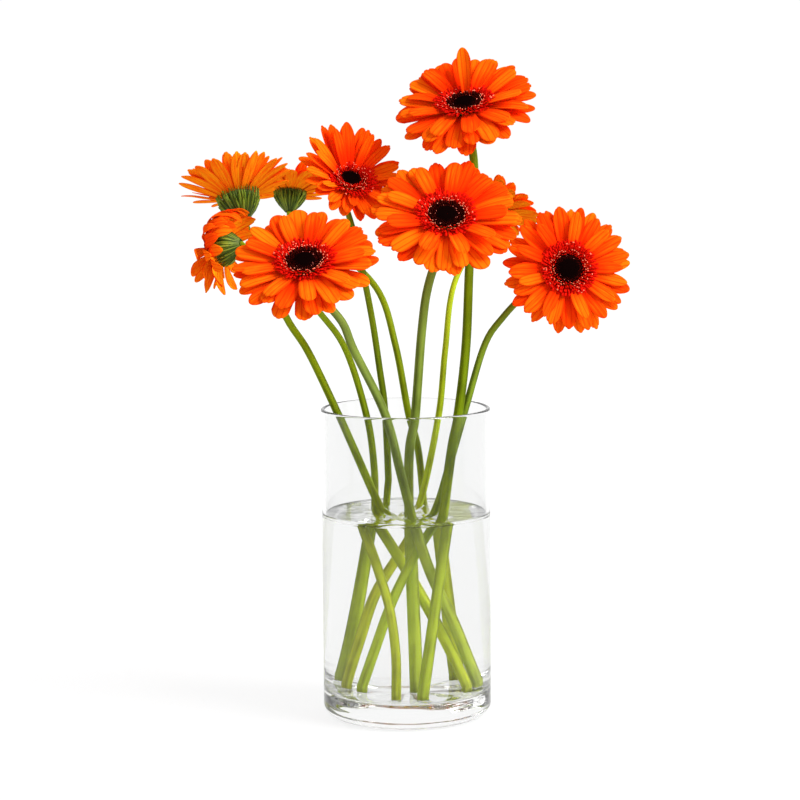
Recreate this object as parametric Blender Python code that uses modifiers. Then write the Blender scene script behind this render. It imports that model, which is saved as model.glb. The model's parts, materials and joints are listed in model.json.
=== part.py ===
"""Nine cut gerberas with their stems in a glass cylinder vase of water.

Metres, +Z up. The origin is the middle of the vase's underside. The viewer of the
photograph looks along +Y, so -Y is the front and +X is the right.
"""
import math
import random

import bmesh
import bpy
from mathutils import Matrix, Vector

MM = 0.001
GAP = 0.3 * MM

# Vase: a glass cylinder on a thick base
VASE_RADIUS = 60 * MM
VASE_HEIGHT = 220 * MM
WALL = 2.8 * MM
BASE = 18 * MM
FOOT_ROUND = 8 * MM
INNER_ROUND = 4 * MM
VASE_SIDES = 40

# Water: its level above the table, and the clear ring round each stem in it
WATER_LEVEL = 145 * MM
HOLE_CLEARANCE = 0.4 * MM
HOLE_ABOVE = 30 * MM
HOLE_BELOW = 2 * MM
WATER_SIDES = 32

# Receptacle: the small drum in the middle of a bloom that every floret grows from
DRUM_RADIUS = 11.5 * MM
DRUM_LOW = -3.2 * MM
DRUM_HIGH = 3.0 * MM
DRUM_SIDES = 14
ROOT_RADIUS = 8.5 * MM

# Ray florets: long flat petals in two layers, wider towards the blunt tip
PETAL_WIDTH = 13.0 * MM
PETAL_THICK = 0.8 * MM
PETAL_STATIONS = (0.0, 0.36, 0.76, 1.0)
PETAL_SHAPE = (0.33, 0.82, 1.0, 0.50)
LOW_LAYER = -1.9 * MM
HIGH_LAYER = -0.4 * MM
LAYER_LIFT = 7.0
HIGH_SHARE = 0.94
STRAY_WIDTH = 0.8

# How far one petal may differ from the next: degrees, then shares of the full size
TURN_SPREAD = 3.0
LIFT_SPREAD = 2.0
DROOP_SPREAD = 3.0
TWIST_SPREAD = 8.0
LENGTH_SHARES = (0.94, 1.0)
WIDTH_SHARES = (0.92, 1.05)

# Short red florets that stand round the eye
INNER_WIDTH = 4.2 * MM
INNER_LENGTH = 12.5 * MM
INNER_THICK = 0.75 * MM
INNER_STATIONS = (0.0, 1.0)
INNER_SHAPE = (1.0, 0.5)
INNER_ROOT = 10.4 * MM
INNER_LAYER = 1.7 * MM
INNER_LIFT = 24.0
INNER_STEEPEST = 50.0
INNER_DROOP = 10.0
INNER_OFFSET = 0.25

# Eye: a low dome of packed disc florets
EYE_RADIUS = 9.4 * MM
EYE_HEIGHT = 3.6 * MM
EYE_SEGMENTS = 12
EYE_RINGS = 6
EYE_RELIEF = 0.35 * MM

# Green cup of bracts under the bloom, as (radius, height) down to the stem
CUP_PROFILE = ((14.0, -3.8), (14.2, -7.0), (10.6, -14.0), (3.2, -21.5))
CUP_BRACTS = 8
CUP_PLEAT = 0.07
CUP_TEETH = 0.9 * MM
CUP_NECK = 4 * MM
NECK_DEPTH = 18 * MM

# Stems: rings along each route, and the straight ends that run into the cup and the floor
STEM_RINGS = 13
WAY_STEPS = 24
FOOT_STUB = 4 * MM
NECK_OVERRUN = 4 * MM
WELD = 0.01 * MM

# Hand-set values for each flower, in millimetres and degrees. bloom is the middle of the
# drum; facing is (turn to the right, tilt up) of the face; size scales everything but the
# span, which is from the middle to the petal tips; lift raises the petals at the root, nod is
# (direction, how much more the petals rise on that side), droop bends them down towards the
# tip; short is (direction, share) of a side whose petals stay short; stray is (direction,
# lift, share) of one petal that stands up; petals is the count in the low and high layers;
# stem is the stem's radius at the foot and at the neck, and cup scales the green cup; foot is
# where the stem stands in the vase, and way is the route it takes.
FLOWERS = (
    dict(name="front_left", bloom=(-67, -75, 326.5), facing=(-5, 54), size=1.0, span=51, lift=10,
         nod=(90, 8), droop=14, short=(0, 0), petals=(12, 11), stem=(3.5, 2.7), cup=1.0,
         foot=(37, 6),
         way=((26, -6, 68), (13, -20, 110), (5, -26, 142), (-3, -28, 175), (-14, -38, 220),
              (-35, -50, 266), (-44, -57, 288))),
    dict(name="centre", bloom=(29, -35, 355), facing=(2, 46), size=1.0, span=53, lift=10,
         nod=(90, 2), droop=14, short=(0, 0), petals=(12, 11), stem=(3.6, 2.85), cup=1.0,
         foot=(5, -3),
         way=((2, -10, 173), (7, -16, 217), (12, -22, 278), (17, -25, 310))),
    dict(name="top", bloom=(44, 20, 431), facing=(-15, 60), size=1.0, span=52, lift=10,
         nod=(90, 12), droop=14, short=(0, 0), stray=(97, 56, 0.88), petals=(12, 11),
         stem=(3.65, 2.85), cup=1.0, foot=(10, -38),
         way=((30, -20, 178), (37, -15, 216), (43, -5, 264), (46, 8, 321), (50, 20, 385))),
    dict(name="right", bloom=(114, -10, 317.5), facing=(9, 17), size=1.0, span=48, lift=6,
         nod=(0, 0), droop=12, short=(0, 0), petals=(12, 11), stem=(3.0, 2.15), cup=0.95,
         foot=(-25, -5),
         way=((-18, -9, 50), (-8, -13, 86), (6, -16, 121), (21, -14, 150), (30, -11, 178),
              (43, -8, 222), (56, -4, 264), (68, 0, 282), (86, 8, 299))),
    dict(name="upper_left", bloom=(-38, 15, 379), facing=(22, 48), size=0.85, span=50, lift=15,
         nod=(112, 22), droop=10, short=(255, 0.42), petals=(10, 9), stem=(2.8, 2.05), cup=0.95,
         foot=(-26, 36),
         way=((-14, 34, 150), (-13, 32, 171), (-15, 27, 218), (-18, 24, 243), (-24, 22, 285),
              (-34, 25, 335))),
    dict(name="far_left", bloom=(-120, 50, 369), facing=(-150, 64), size=1.0, span=46, lift=25,
         nod=(0, 0), droop=10, short=(0, 0), petals=(10, 9), stem=(3.2, 2.35), cup=0.95,
         foot=(34, -8),
         way=((3, 4, 98), (-26, 12, 163), (-47, 10, 212), (-69, 24, 257), (-85, 35, 281),
              (-103, 44, 320))),
    dict(name="back_left", bloom=(-85, 115, 369), facing=(175, 68), size=0.9, span=39, lift=19,
         nod=(0, 0), droop=10, short=(0, 0), petals=(10, 9), stem=(2.85, 2.15), cup=0.8,
         foot=(20, 42),
         way=((11, 38, 169), (2, 44, 211), (-7, 58, 259), (-20, 76, 298), (-52, 98, 328))),
    dict(name="low_left", bloom=(-131, 12, 333), facing=(-112, -10), size=0.95, span=44, lift=14,
         nod=(0, 0), droop=95, short=(0, 0), petals=(10, 9), stem=(3.0, 2.0), cup=0.85,
         foot=(-7, -36),
         way=((-7, -34, 50), (-10, -27, 80), (-16, -8, 108), (-22, 14, 138), (-23, 29, 172),
              (-28, 26, 211), (-42, 24, 258), (-59, 12, 285), (-85, -12, 316))),
    dict(name="back_right", bloom=(67, 62, 357), facing=(140, 45), size=0.9, span=34, lift=20,
         nod=(0, 0), droop=14, short=(0, 0), petals=(10, 9), stem=(2.9, 1.85), cup=0.85,
         foot=(-32, 5),
         way=((-24, 9, 54), (-15, 14, 88), (0, 21, 122), (12, 26, 154), (24, 30, 210),
              (29, 34, 257), (36, 40, 305))),
)


def material(name, colour, roughness, transmission=0.0, ior=1.45):
    made = bpy.data.materials.new(name)
    made.use_nodes = True
    shader = made.node_tree.nodes["Principled BSDF"]
    shader.inputs["Base Color"].default_value = (*colour, 1.0)
    shader.inputs["Roughness"].default_value = roughness
    shader.inputs["Metallic"].default_value = 0.0
    shader.inputs["Transmission Weight"].default_value = transmission
    shader.inputs["IOR"].default_value = ior
    return made


def add_object(name, mesh, finish, collection):
    obj = bpy.data.objects.new(name, mesh)
    mesh.materials.clear()
    mesh.materials.append(finish)
    collection.objects.link(obj)
    return obj


def applied(obj):
    """Put the object's modifiers into its mesh."""
    bpy.context.view_layer.update()
    graph = bpy.context.evaluated_depsgraph_get()
    mesh = bpy.data.meshes.new_from_object(obj.evaluated_get(graph))
    obj.modifiers.clear()
    obj.data = mesh
    return obj


def join_all(obj, pieces, operation):
    """One Boolean of a whole collection, applied, with the collection emptied afterwards."""
    cut = obj.modifiers.new("join", "BOOLEAN")
    cut.operation = operation
    cut.operand_type = "COLLECTION"
    cut.collection = pieces
    cut.solver = "EXACT"
    applied(obj)
    for piece in list(pieces.objects):
        bpy.data.objects.remove(piece)
    bpy.data.collections.remove(pieces)
    return obj


def turned(name, profile, steps, finish, collection):
    """A solid turned about Z from a profile of (radius, height) points."""
    mesh = bpy.data.meshes.new(name)
    points = [(radius, 0.0, height) for radius, height in profile]
    mesh.from_pydata(points, [(i, i + 1) for i in range(len(points) - 1)], [])
    obj = add_object(name, mesh, finish, collection)
    screw = obj.modifiers.new("turn", "SCREW")
    screw.steps = steps
    screw.render_steps = steps
    screw.use_merge_vertices = True
    screw.merge_threshold = 0.0001
    screw.use_smooth_shade = True
    return applied(obj)


def arc(middle, radius, start, end, steps):
    """Points on an arc in the profile plane, angles in degrees."""
    turn = [math.radians(start + (end - start) * i / steps) for i in range(steps + 1)]
    return [(middle[0] + radius * math.cos(a), middle[1] + radius * math.sin(a)) for a in turn]


def inner_foot(radius, floor):
    """The rounded corner between the vase's floor and its wall, from the floor up."""
    return arc((radius - INNER_ROUND, floor + INNER_ROUND), INNER_ROUND, -90, 0, 2)


def make_vase(collection):
    glass = material("glass", (0.95, 0.97, 0.96), 0.02, 1.0, 1.5)
    inside = VASE_RADIUS - WALL
    lip = WALL / 2
    profile = [(0.0, BASE)] + inner_foot(inside, BASE)
    profile += arc((inside + lip, VASE_HEIGHT - lip), lip, 180, 0, 4)
    profile += arc((VASE_RADIUS - FOOT_ROUND, FOOT_ROUND), FOOT_ROUND, 0, -90, 4)
    profile += [(0.0, 0.0)]
    return turned("vase", profile, VASE_SIDES, glass, collection)


def make_water(collection, routes):
    clear = material("water", (0.97, 0.99, 0.98), 0.0, 1.0, 1.33)
    floor = BASE + GAP
    radius = VASE_RADIUS - WALL - GAP
    profile = [(0.0, WATER_LEVEL), (radius, WATER_LEVEL)]
    profile += list(reversed(inner_foot(radius, floor)))
    profile += [(0.0, floor)]
    water = turned("water", profile, WATER_SIDES, clear, collection)
    holes = bpy.data.collections.new("stem holes")
    bpy.context.scene.collection.children.link(holes)
    for flower, route in zip(FLOWERS, routes):
        top = WATER_LEVEL + HOLE_ABOVE
        wet = [(Vector(point), radius + HOLE_CLEARANCE) for point, radius in route if point.z < top]
        wet[0][0].z -= HOLE_BELOW
        hole = tube("hole " + flower["name"], wet, clear, holes)
        hole.hide_render = True
        hole.display_type = "WIRE"
    return join_all(water, holes, "DIFFERENCE")


def smooth_way(points, count):
    """Evenly spaced points on a smooth curve through the given ones."""
    ends = [2 * points[0] - points[1]] + points + [2 * points[-1] - points[-2]]
    fine = []
    for a, b, c, d in zip(ends, ends[1:], ends[2:], ends[3:]):
        for i in range(WAY_STEPS):
            t = i / WAY_STEPS
            fine.append(0.5 * (2 * b + (c - a) * t + (2 * a - 5 * b + 4 * c - d) * t ** 2
                               + (3 * b - a - 3 * c + d) * t ** 3))
    fine.append(points[-1])
    travelled = [0.0]
    for a, b in zip(fine, fine[1:]):
        travelled.append(travelled[-1] + (b - a).length)
    even = []
    for i in range(count):
        goal = travelled[-1] * i / (count - 1)
        place = max(j for j, far in enumerate(travelled) if far <= goal + 1e-9)
        even.append(fine[place].copy())
    even[-1] = fine[-1].copy()
    return even


def bloom_frame(flower):
    """World place of a bloom: its middle, with local +Z the way the flower faces."""
    turn, tilt = (math.radians(angle) for angle in flower["facing"])
    level = math.cos(tilt)
    face = Vector((level * math.sin(turn), -level * math.cos(turn), math.sin(tilt)))
    right = Vector((0, 0, 1)).cross(face).normalized()
    up = face.cross(right)
    frame = Matrix((right, up, face)).transposed().to_4x4()
    frame.translation = Vector(flower["bloom"]) * MM
    return frame @ Matrix.Scale(flower["size"], 4)


def stem_route(flower):
    """Stem points with their radii, from the flat foot to the neck in the green cup."""
    frame = bloom_frame(flower)
    face = frame.to_3x3().col[2].normalized()
    neck = frame.translation - face * NECK_DEPTH
    foot = Vector((flower["foot"][0] * MM, flower["foot"][1] * MM, BASE + GAP))
    stub = foot + Vector((0, 0, FOOT_STUB))
    way = [Vector(point) * MM for point in flower["way"]]
    line = [foot] + smooth_way([stub] + way + [neck], STEM_RINGS)
    last = len(line) - 1
    thick, thin = (radius * MM for radius in flower["stem"])
    radii = [thick + (thin - thick) * i / last for i in range(last + 1)]
    line.append(neck + face * NECK_OVERRUN)
    radii.append(thin)
    return list(zip(line, radii))


def tube(name, route, finish, collection):
    """A round rod along a route of (point, radius), with flat welded ends."""
    curve = bpy.data.curves.new(name, "CURVE")
    curve.dimensions = "3D"
    curve.bevel_depth = MM
    curve.bevel_resolution = 2
    curve.use_fill_caps = True
    spline = curve.splines.new("POLY")
    spline.points.add(len(route) - 1)
    for point, (place, radius) in zip(spline.points, route):
        point.co = (*place, 1.0)
        point.radius = radius / MM
    source = bpy.data.objects.new(name + " curve", curve)
    collection.objects.link(source)
    bpy.context.view_layer.update()
    graph = bpy.context.evaluated_depsgraph_get()
    mesh = bpy.data.meshes.new_from_object(source.evaluated_get(graph))
    shape = bmesh.new()
    shape.from_mesh(mesh)
    bmesh.ops.remove_doubles(shape, verts=shape.verts, dist=WELD)
    bmesh.ops.recalc_face_normals(shape, faces=shape.faces)
    shape.to_mesh(mesh)
    shape.free()
    obj = add_object(name, mesh, finish, collection)
    obj.matrix_world = source.matrix_world
    bpy.data.objects.remove(source)
    return obj


def make_cup(flower, frame, finish, collection):
    """The green cup: a turned bowl with a pleat and a tooth for each bract."""
    shape = bmesh.new()
    profile = [(0.0, CUP_PROFILE[0][1])] + list(CUP_PROFILE) + [(0.0, CUP_PROFILE[-1][1])]
    verts = [shape.verts.new((radius * MM, 0, height * MM)) for radius, height in profile]
    edges = [shape.edges.new(pair) for pair in zip(verts, verts[1:])]
    bmesh.ops.spin(shape, geom=verts + edges, axis=(0, 0, 1), cent=(0, 0, 0), angle=2 * math.pi,
                   steps=2 * CUP_BRACTS, use_merge=True)
    bmesh.ops.remove_doubles(shape, verts=shape.verts, dist=WELD)
    rim = CUP_PROFILE[0][1] * MM
    for vert in shape.verts:
        angle = math.atan2(vert.co.y, vert.co.x)
        wave = math.cos(CUP_BRACTS * angle)
        radius = math.hypot(vert.co.x, vert.co.y)
        if radius > CUP_NECK:
            widen = flower["cup"] * (1 + CUP_PLEAT * wave)
            vert.co.x *= widen
            vert.co.y *= widen
            if abs(vert.co.z - rim) < WELD:
                vert.co.z -= CUP_TEETH * (1 - wave) / 2
    bmesh.ops.recalc_face_normals(shape, faces=shape.faces)
    mesh = bpy.data.meshes.new("cup " + flower["name"])
    shape.to_mesh(mesh)
    shape.free()
    mesh.transform(frame)
    return add_object("cup " + flower["name"], mesh, finish, collection)


def make_stem(flower, route, collection):
    green = material("green " + flower["name"], (0.20, 0.33, 0.03), 0.5)
    stem = tube("stem_" + flower["name"], route, green, collection)
    cups = bpy.data.collections.new("cup of " + flower["name"])
    bpy.context.scene.collection.children.link(cups)
    make_cup(flower, bloom_frame(flower), green, cups)
    return join_all(stem, cups, "UNION")


def blade(length, width, thick, stations, shape_of, lift, droop, twist):
    """A flat petal along +X from the origin: a strip bent up by lift, down towards its tip."""
    shape = bmesh.new()
    steps = len(stations) - 1
    bmesh.ops.create_grid(shape, x_segments=steps, y_segments=1, size=0.5)
    middle = [(0.0, 0.0)]
    for near, far in zip(stations, stations[1:]):
        slope = math.radians(lift - droop * (near + far) / 2)
        run = (far - near) * length
        middle.append((middle[-1][0] + run * math.cos(slope), middle[-1][1] + run * math.sin(slope)))
    for vert in shape.verts:
        step = round((vert.co.x + 0.5) * steps)
        side = width / 2 * shape_of[step] * (1 if vert.co.y > 0 else -1)
        roll = math.radians(twist) * stations[step]
        x, z = middle[step]
        vert.co = (x, side * math.cos(roll), z + side * math.sin(roll))
    bmesh.ops.triangulate(shape, faces=shape.faces)
    bmesh.ops.solidify(shape, geom=shape.faces, thickness=thick)
    bmesh.ops.recalc_face_normals(shape, faces=shape.faces)
    mesh = bpy.data.meshes.new("petal")
    shape.to_mesh(mesh)
    shape.free()
    return mesh


def set_round(mesh, turn, radius, height):
    """Move a petal out to the drum and turn it to its place round the eye."""
    out = Matrix.Translation((radius, 0, height))
    mesh.transform(Matrix.Rotation(math.radians(turn), 4, "Z") @ out)
    return mesh


def tilt_at(flower, turn):
    """How far the petals rise at this angle round the bloom; 90 degrees is its upper side."""
    direction, more = flower["nod"]
    return flower["lift"] + more * math.cos(math.radians(turn - direction))


def share_at(flower, turn):
    """How much of their full length the petals reach at this angle round the bloom."""
    direction, share = flower["short"]
    return 1 - share * (1 + math.cos(math.radians(turn - direction))) / 2


def make_petals(flower, frame, collection):
    orange = material("orange " + flower["name"], (1.0, 0.13, 0.005), 0.55)
    pick = random.Random(flower["name"])
    drum = bmesh.new()
    bmesh.ops.create_cone(drum, cap_ends=True, segments=DRUM_SIDES, radius1=DRUM_RADIUS,
                          radius2=DRUM_RADIUS, depth=DRUM_HIGH - DRUM_LOW)
    bmesh.ops.translate(drum, verts=drum.verts, vec=(0, 0, (DRUM_HIGH + DRUM_LOW) / 2))
    mesh = bpy.data.meshes.new("drum")
    drum.to_mesh(mesh)
    drum.free()
    bloom = add_object("petals_" + flower["name"], mesh, orange, collection)
    florets = bpy.data.collections.new("florets of " + flower["name"])
    bpy.context.scene.collection.children.link(florets)
    reach = flower["span"] * MM / flower["size"] - ROOT_RADIUS
    for layer, count in enumerate(flower["petals"]):
        for i in range(count):
            turn = 360 * (i + 0.5 * layer) / count + pick.uniform(-TURN_SPREAD, TURN_SPREAD)
            lift = tilt_at(flower, turn) + LAYER_LIFT * layer + pick.uniform(-LIFT_SPREAD, LIFT_SPREAD)
            droop = flower["droop"] + pick.uniform(-DROOP_SPREAD, DROOP_SPREAD)
            share = share_at(flower, turn) * HIGH_SHARE ** layer * pick.uniform(*LENGTH_SHARES)
            width = PETAL_WIDTH * pick.uniform(*WIDTH_SHARES)
            twist = pick.uniform(-TWIST_SPREAD, TWIST_SPREAD)
            leaf = blade(reach * share, width, PETAL_THICK, PETAL_STATIONS, PETAL_SHAPE, lift,
                         droop, twist)
            set_round(leaf, turn, ROOT_RADIUS, (LOW_LAYER, HIGH_LAYER)[layer])
            add_object("ray", leaf, orange, florets)
    if "stray" in flower:
        turn, lift, share = flower["stray"]
        leaf = blade(reach * share, PETAL_WIDTH * STRAY_WIDTH, PETAL_THICK, PETAL_STATIONS, PETAL_SHAPE,
                     lift, 0, 0)
        set_round(leaf, turn, ROOT_RADIUS, HIGH_LAYER)
        add_object("stray ray", leaf, orange, florets)
    inner = flower["petals"][0]
    for i in range(inner):
        lift = min(tilt_at(flower, 360 * i / inner) + INNER_LIFT, INNER_STEEPEST)
        leaf = blade(INNER_LENGTH, INNER_WIDTH, INNER_THICK, INNER_STATIONS, INNER_SHAPE, lift,
                     INNER_DROOP, 0)
        set_round(leaf, 360 * (i + INNER_OFFSET) / inner, INNER_ROOT, INNER_LAYER)
        add_object("inner floret", leaf, orange, florets)
    join_all(bloom, florets, "UNION")
    bloom.data.transform(frame)
    return bloom


def make_eye(flower, frame, collection):
    dark = material("dark " + flower["name"], (0.012, 0.004, 0.004), 0.7)
    shape = bmesh.new()
    bmesh.ops.create_uvsphere(shape, u_segments=EYE_SEGMENTS, v_segments=EYE_RINGS, radius=1.0)
    geometry = shape.verts[:] + shape.edges[:] + shape.faces[:]
    bmesh.ops.bisect_plane(shape, geom=geometry, plane_co=(0, 0, 0), plane_no=(0, 0, -1),
                           clear_outer=True)
    bmesh.ops.holes_fill(shape, edges=shape.edges)
    base = DRUM_HIGH + GAP
    for vert in shape.verts:
        angle = math.atan2(vert.co.y, vert.co.x)
        ring = round(math.degrees(math.asin(min(1.0, vert.co.z))) * EYE_RINGS / 180)
        spoke = round(angle * EYE_SEGMENTS / (2 * math.pi))
        bump = EYE_RELIEF if (ring + spoke) % 2 and ring > 0 else 0.0
        height = base + vert.co.z * EYE_HEIGHT + bump
        vert.co = (vert.co.x * EYE_RADIUS, vert.co.y * EYE_RADIUS, height)
    bmesh.ops.recalc_face_normals(shape, faces=shape.faces)
    mesh = bpy.data.meshes.new("disc_" + flower["name"])
    shape.to_mesh(mesh)
    shape.free()
    eye = add_object("disc_" + flower["name"], mesh, dark, collection)
    eye.data.transform(frame)
    return eye


def build():
    for obj in list(bpy.data.objects):
        bpy.data.objects.remove(obj)
    bunch = bpy.data.collections.new("gerbera bunch in a vase")
    bpy.context.scene.collection.children.link(bunch)
    routes = [stem_route(flower) for flower in FLOWERS]
    make_vase(bunch)
    make_water(bunch, routes)
    for flower, route in zip(FLOWERS, routes):
        frame = bloom_frame(flower)
        make_stem(flower, route, bunch)
        make_petals(flower, frame, bunch)
        make_eye(flower, frame, bunch)
    for obj in bunch.objects:
        obj.data.shade_smooth()
        obj.data.set_sharp_from_angle(angle=math.radians(35))


build()
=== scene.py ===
"""Nine cut orange gerberas in a glass cylinder vase of water, as the photograph shows them.

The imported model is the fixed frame. Each of its nodes is replaced by a finer piece of the
same form. Lengths are in metres unless a name or a comment says millimetres.
"""
import json
import math
import random

import bmesh
import bpy
from mathutils import Matrix, Vector

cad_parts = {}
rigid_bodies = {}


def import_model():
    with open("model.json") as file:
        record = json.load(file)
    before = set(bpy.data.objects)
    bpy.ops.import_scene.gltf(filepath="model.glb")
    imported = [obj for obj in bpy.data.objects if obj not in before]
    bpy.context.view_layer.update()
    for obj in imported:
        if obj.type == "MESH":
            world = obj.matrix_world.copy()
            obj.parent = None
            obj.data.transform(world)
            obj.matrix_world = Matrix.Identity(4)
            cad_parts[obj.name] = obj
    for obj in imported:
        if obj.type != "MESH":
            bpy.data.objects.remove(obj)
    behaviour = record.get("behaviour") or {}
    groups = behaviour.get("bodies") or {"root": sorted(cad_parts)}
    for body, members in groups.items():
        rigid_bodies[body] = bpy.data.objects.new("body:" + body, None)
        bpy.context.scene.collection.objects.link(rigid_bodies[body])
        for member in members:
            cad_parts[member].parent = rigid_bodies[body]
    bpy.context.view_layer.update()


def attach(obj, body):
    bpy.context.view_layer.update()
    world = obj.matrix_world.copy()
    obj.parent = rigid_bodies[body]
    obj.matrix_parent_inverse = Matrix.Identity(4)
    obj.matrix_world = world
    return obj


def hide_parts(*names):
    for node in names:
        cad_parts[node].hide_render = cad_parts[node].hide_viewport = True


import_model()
scene = bpy.context.scene


# Camera. A long lens stands 1.7 m in front of the vase, level with the highest bloom, and
# looks slightly down. Place, lens, shift and tilts were fitted to the vase's rim, water line
# and foot. Sensor and lens are in millimetres and the tilts in degrees.
CAMERA_PLACE = (0.0, -1.7, 0.4338)
CAMERA_PITCH = 6.9943
CAMERA_ROLL = -0.4083
SENSOR = 36.0
LENS = 108.846
SHIFT = -0.006625
CLEAR_BOUNCES = 32
DULL_BOUNCES = 5

lens = bpy.data.cameras.new("camera")
lens.sensor_width = SENSOR
lens.lens = LENS
lens.shift_x = SHIFT
camera = bpy.data.objects.new("camera", lens)
scene.collection.objects.link(camera)
tilt = Matrix.Rotation(math.radians(90 - CAMERA_PITCH), 4, "X")
roll = Matrix.Rotation(math.radians(CAMERA_ROLL), 4, "Z")
camera.matrix_world = Matrix.Translation(CAMERA_PLACE) @ tilt @ roll
scene.camera = camera
scene.view_settings.view_transform = "Standard"
scene.cycles.max_bounces = CLEAR_BOUNCES
scene.cycles.transmission_bounces = CLEAR_BOUNCES
scene.cycles.glossy_bounces = CLEAR_BOUNCES
scene.cycles.diffuse_bounces = DULL_BOUNCES


# Vase. One clear soda-glass cylinder, blown or pressed in one piece, with a thick base, a
# rounded foot and a fire-polished lip. It is turned here from its half profile, with a point
# close to each end of a rounding, which keeps the shading of the straight runs straight.
MM = 0.001
VASE_RADIUS = 60 * MM
VASE_HEIGHT = 220 * MM
WALL = 2.8 * MM
BASE = 18 * MM
FOOT_ROUND = 8 * MM
FOOT_STEPS = 14
INNER_ROUND = 4 * MM
INNER_STEPS = 8
LIP_STEPS = 12
VASE_SIDES = 192
HOLDING_LOOP = 0.4 * MM
SAME_PLACE = 0.001 * MM
GLASS_COLOUR = (0.92, 0.923, 0.921, 1)
GLASS_BENDS_LIGHT = 1.5
FAINT_SHINE = (0.2, 0.2, 0.2, 1)

# The waves in the thick base: how many in a metre along X, Y and Z, how finely they break
# up, and how deep they are
GLASS_WAVES = (25, 25, 160)
GLASS_WAVE_DETAIL = 1.0
GLASS_WAVE_DEPTH = 0.7 * MM


class Value:
    """What a node gives, to write sums with: each sum adds its Math node."""

    def __init__(self, finish, output):
        self.finish = finish
        self.output = output

    def maths(self, operation, first, second):
        return self.finish.node("Math", {"operation": operation}, {0: first, 1: second})

    def __add__(self, other):
        return self.maths("ADD", self, other)

    def __sub__(self, other):
        return self.maths("SUBTRACT", self, other)

    def __rsub__(self, other):
        return self.maths("SUBTRACT", other, self)

    def __mul__(self, other):
        return self.maths("MULTIPLY", self, other)

    def __abs__(self):
        return self.finish.node("Math", {"operation": "ABSOLUTE"}, {0: self})

    __radd__ = __add__
    __rmul__ = __mul__


class Nodes:
    """The node tree of a material or of the air, with the few nodes that are used often."""

    def __init__(self, tree):
        self.tree = tree

    def node(self, kind, settings, values, output=0):
        """Any node: its settings first, then its sockets, which take a number or a Value."""
        made = self.tree.nodes.new("ShaderNode" + kind)
        for name, value in settings.items():
            setattr(made, name, value)
        for socket, value in values.items():
            self.put(value, made.inputs[socket])
        return Value(self, made.outputs[output])

    def put(self, value, socket):
        if isinstance(value, Value):
            self.tree.links.new(value.output, socket)
        else:
            socket.default_value = value

    def read(self, attribute):
        """A number that the mesh keeps at each of its points."""
        return self.node("Attribute", {"attribute_name": attribute}, {}, "Fac")

    def noise(self, spot, scale, detail):
        return self.node("TexNoise", {}, {"Vector": spot, "Scale": scale, "Detail": detail})

    def between(self, share, first, second):
        """A colour between two others."""
        mixed = {0: share, 6: first, 7: second}
        return self.node("Mix", {"data_type": "RGBA", "clamp_factor": True}, mixed, 2)

    def step(self, value, low, high):
        """0 below low and 1 above high, with a soft step between them."""
        ranges = {"Value": value, "From Min": low, "From Max": high}
        return self.node("MapRange", {"interpolation_type": "SMOOTHSTEP"}, ranges)


class Finish(Nodes):
    """A material, with its fixed values set first and the rest varied over the surface."""

    def __init__(self, name, **settings):
        self.material = bpy.data.materials.new(name)
        self.material.use_nodes = True
        super().__init__(self.material.node_tree)
        self.shader = self.tree.nodes["Principled BSDF"]
        for socket, value in settings.items():
            self.shader.inputs[socket.replace("_", " ")].default_value = value

    def vary(self, socket, value):
        self.put(value, self.shader.inputs[socket])

    def bump(self, height, strength, distance):
        values = {"Strength": strength, "Distance": distance, "Height": height}
        self.vary("Normal", self.node("Bump", {}, values))

    def height(self):
        """How high the surface stands, in metres."""
        coords = self.node("TexCoord", {}, {}, "Object")
        return self.node("SeparateXYZ", {}, {"Vector": coords}, "Z")

    def ripple(self, waves, detail, where, depth):
        """Uneven waves where a mask is 1, which fade out where it falls to 0."""
        coords = self.node("TexCoord", {}, {}, "Object")
        spot = self.node("VectorMath", {"operation": "MULTIPLY"}, {0: coords, 1: waves})
        self.bump(self.noise(spot, 1.0, detail) * where, 1.0, depth)


def arc(middle, radius, start, end, steps):
    """Points on an arc in a half profile, as (radius, height); the angles are in degrees."""
    turns = [math.radians(start + (end - start) * i / steps) for i in range(steps + 1)]
    return [(middle[0] + radius * math.cos(a), middle[1] + radius * math.sin(a)) for a in turns]


def turned(shape, profile, sides):
    """Spin a half profile of (radius, height) points round the Z axis."""
    verts = [shape.verts.new((radius, 0, height)) for radius, height in profile]
    edges = [shape.edges.new(pair) for pair in zip(verts, verts[1:])]
    bmesh.ops.spin(shape, geom=verts + edges, axis=(0, 0, 1), cent=(0, 0, 0),
                   angle=2 * math.pi, steps=sides, use_merge=True)
    bmesh.ops.remove_doubles(shape, verts=shape.verts, dist=SAME_PLACE)
    bmesh.ops.recalc_face_normals(shape, faces=shape.faces)


def add_piece(name, shape, finishes):
    """Make the finished mesh an object that rides with the vase and stands for its node."""
    mesh = bpy.data.meshes.new(name)
    shape.to_mesh(mesh)
    shape.free()
    mesh.shade_smooth()
    for finish in finishes:
        mesh.materials.append(finish.material)
    piece = bpy.data.objects.new(name + "_fine", mesh)
    scene.collection.objects.link(piece)
    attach(piece, "root")
    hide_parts(name)
    return piece


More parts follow.
